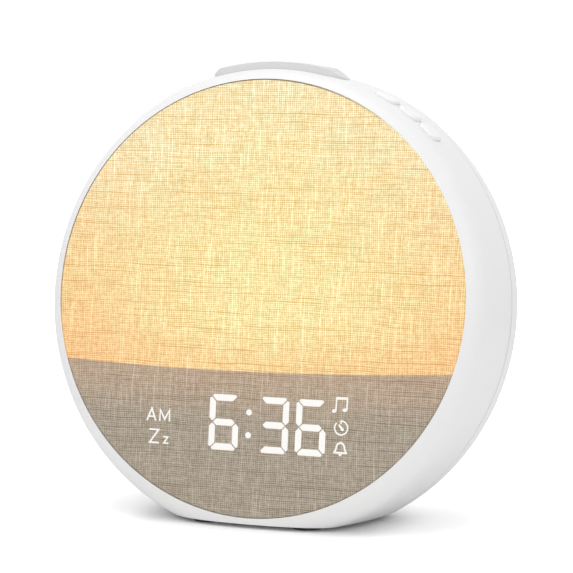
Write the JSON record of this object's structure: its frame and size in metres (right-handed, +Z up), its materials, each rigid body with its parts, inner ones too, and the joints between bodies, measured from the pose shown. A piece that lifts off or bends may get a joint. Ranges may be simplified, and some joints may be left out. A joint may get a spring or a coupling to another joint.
{
  "type": "sunrise alarm clock",
  "caption": "Round sunrise alarm clock with a lit fabric front over a numeral display, a snooze bar and keys on top, and a speaker, battery door and power inlet at the back",
  "frame": {"origin": "centre of the object's box on the table plane; the rubber feet's undersides are at z = 0", "axes": "+X is to the right seen from the front, the fabric front faces -Y and leans back, +Z is up"},
  "size_m": [0.1762, 0.0688, 0.1708],
  "materials": {
    "white_shell": "fine satin moulded white",
    "grey_shell": "satin light grey",
    "key_white": "satin white",
    "linen_front": "plain linen weave, lit warm from behind",
    "milky_panel": "translucent milky white",
    "white_foam": "soft closed foam",
    "white_reflector": "bright matt white",
    "white_board": "white board lacquer",
    "lamp_phosphor": "yellow phosphor lens",
    "dark_plastic": "matt black",
    "milky_segments": "milky filling",
    "green_board": "green board lacquer",
    "aluminium_can": "drawn can",
    "connector_plastic": "natural white",
    "bright_steel": "nickel-plated",
    "speaker_steel": "black lacquered",
    "soft_rubber": "soft rolled edge",
    "speaker_paper": "pressed paper",
    "contact_brass": "spring contact",
    "screw_steel": "zinc-plated",
    "foot_rubber": "soft matt",
    "ribbon_film": "white film",
    "red_wire": "insulated wire",
    "black_wire": "insulated wire"
  },
  "bodies": {
    "root": {"front_housing": "white_shell", "rear_cover": "white_shell", "fabric_front": "linen_front", "front_panel": "milky_panel", "light_gasket": "white_foam", "light_frame": "white_reflector", "led_board": "white_board", "wake_leds": "lamp_phosphor", "display_housing": "dark_plastic", "display_segments": "milky_segments", "display_board": "green_board", "main_board": "green_board", "board_chips": "dark_plastic", "board_capacitors": "aluminium_can", "board_connectors": "connector_plastic", "power_board": "green_board", "usb_inlet": "bright_steel", "speaker_grille": "grey_shell", "speaker_gasket": "white_foam", "speaker_basket": "speaker_steel", "speaker_surround": "soft_rubber", "speaker_cone": "speaker_paper", "speaker_magnet": "bright_steel", "coin_cell": "bright_steel", "battery_contacts": "contact_brass", "snooze_switches": "bright_steel", "snooze_board": "green_board", "left_switches": "bright_steel", "left_board": "green_board", "right_switches": "bright_steel", "right_board": "green_board", "case_screws": "screw_steel", "frame_screws": "screw_steel", "board_screws": "screw_steel", "speaker_screws": "screw_steel", "rubber_feet": "foot_rubber", "led_ribbon": "ribbon_film", "display_ribbon": "ribbon_film", "speaker_wires": "red_wire", "power_wires": "black_wire"},
    "snooze": {"snooze_bar": "grey_shell", "snooze_stems": "dark_plastic"},
    "hatch": {"battery_door": "white_shell"},
    "left_key_1_body": {"left_key_1": "key_white", "left_stem_1": "dark_plastic"},
    "left_key_2_body": {"left_key_2": "key_white", "left_stem_2": "dark_plastic"},
    "right_key_1_body": {"right_key_1": "key_white", "right_stem_1": "dark_plastic"},
    "right_key_2_body": {"right_key_2": "key_white", "right_stem_2": "dark_plastic"},
    "right_key_3_body": {"right_key_3": "key_white", "right_stem_3": "dark_plastic"}
  },
  "joints": [
    {"name": "snooze_press", "type": "slide", "parent": "root", "child": "snooze", "axis": [0, -0.1184, -0.993], "range_m": [0, 0.0012], "stiffness_N_per_m": 400},
    {"name": "left_key_1_press", "type": "slide", "parent": "root", "child": "left_key_1_body", "axis": [0.5446, -0.0993, -0.8328], "range_m": [0, 0.0007], "stiffness_N_per_m": 400},
    {"name": "left_key_2_press", "type": "slide", "parent": "root", "child": "left_key_2_body", "axis": [0.5446, -0.0993, -0.8328], "range_m": [0, 0.0007], "stiffness_N_per_m": 400},
    {"name": "right_key_1_press", "type": "slide", "parent": "root", "child": "right_key_1_body", "axis": [-0.5835, -0.0962, -0.8064], "range_m": [0, 0.0007], "stiffness_N_per_m": 400},
    {"name": "right_key_2_press", "type": "slide", "parent": "root", "child": "right_key_2_body", "axis": [-0.5835, -0.0962, -0.8064], "range_m": [0, 0.0007], "stiffness_N_per_m": 400},
    {"name": "right_key_3_press", "type": "slide", "parent": "root", "child": "right_key_3_body", "axis": [-0.5835, -0.0962, -0.8064], "range_m": [0, 0.0007], "stiffness_N_per_m": 400},
    {"name": "battery_door_hinge", "type": "hinge", "parent": "root", "child": "hatch", "pos_m": [-0.032, 0.01894, 0.033], "axis": [-1, 0, 0], "range_deg": [0, 90]}
  ]
}
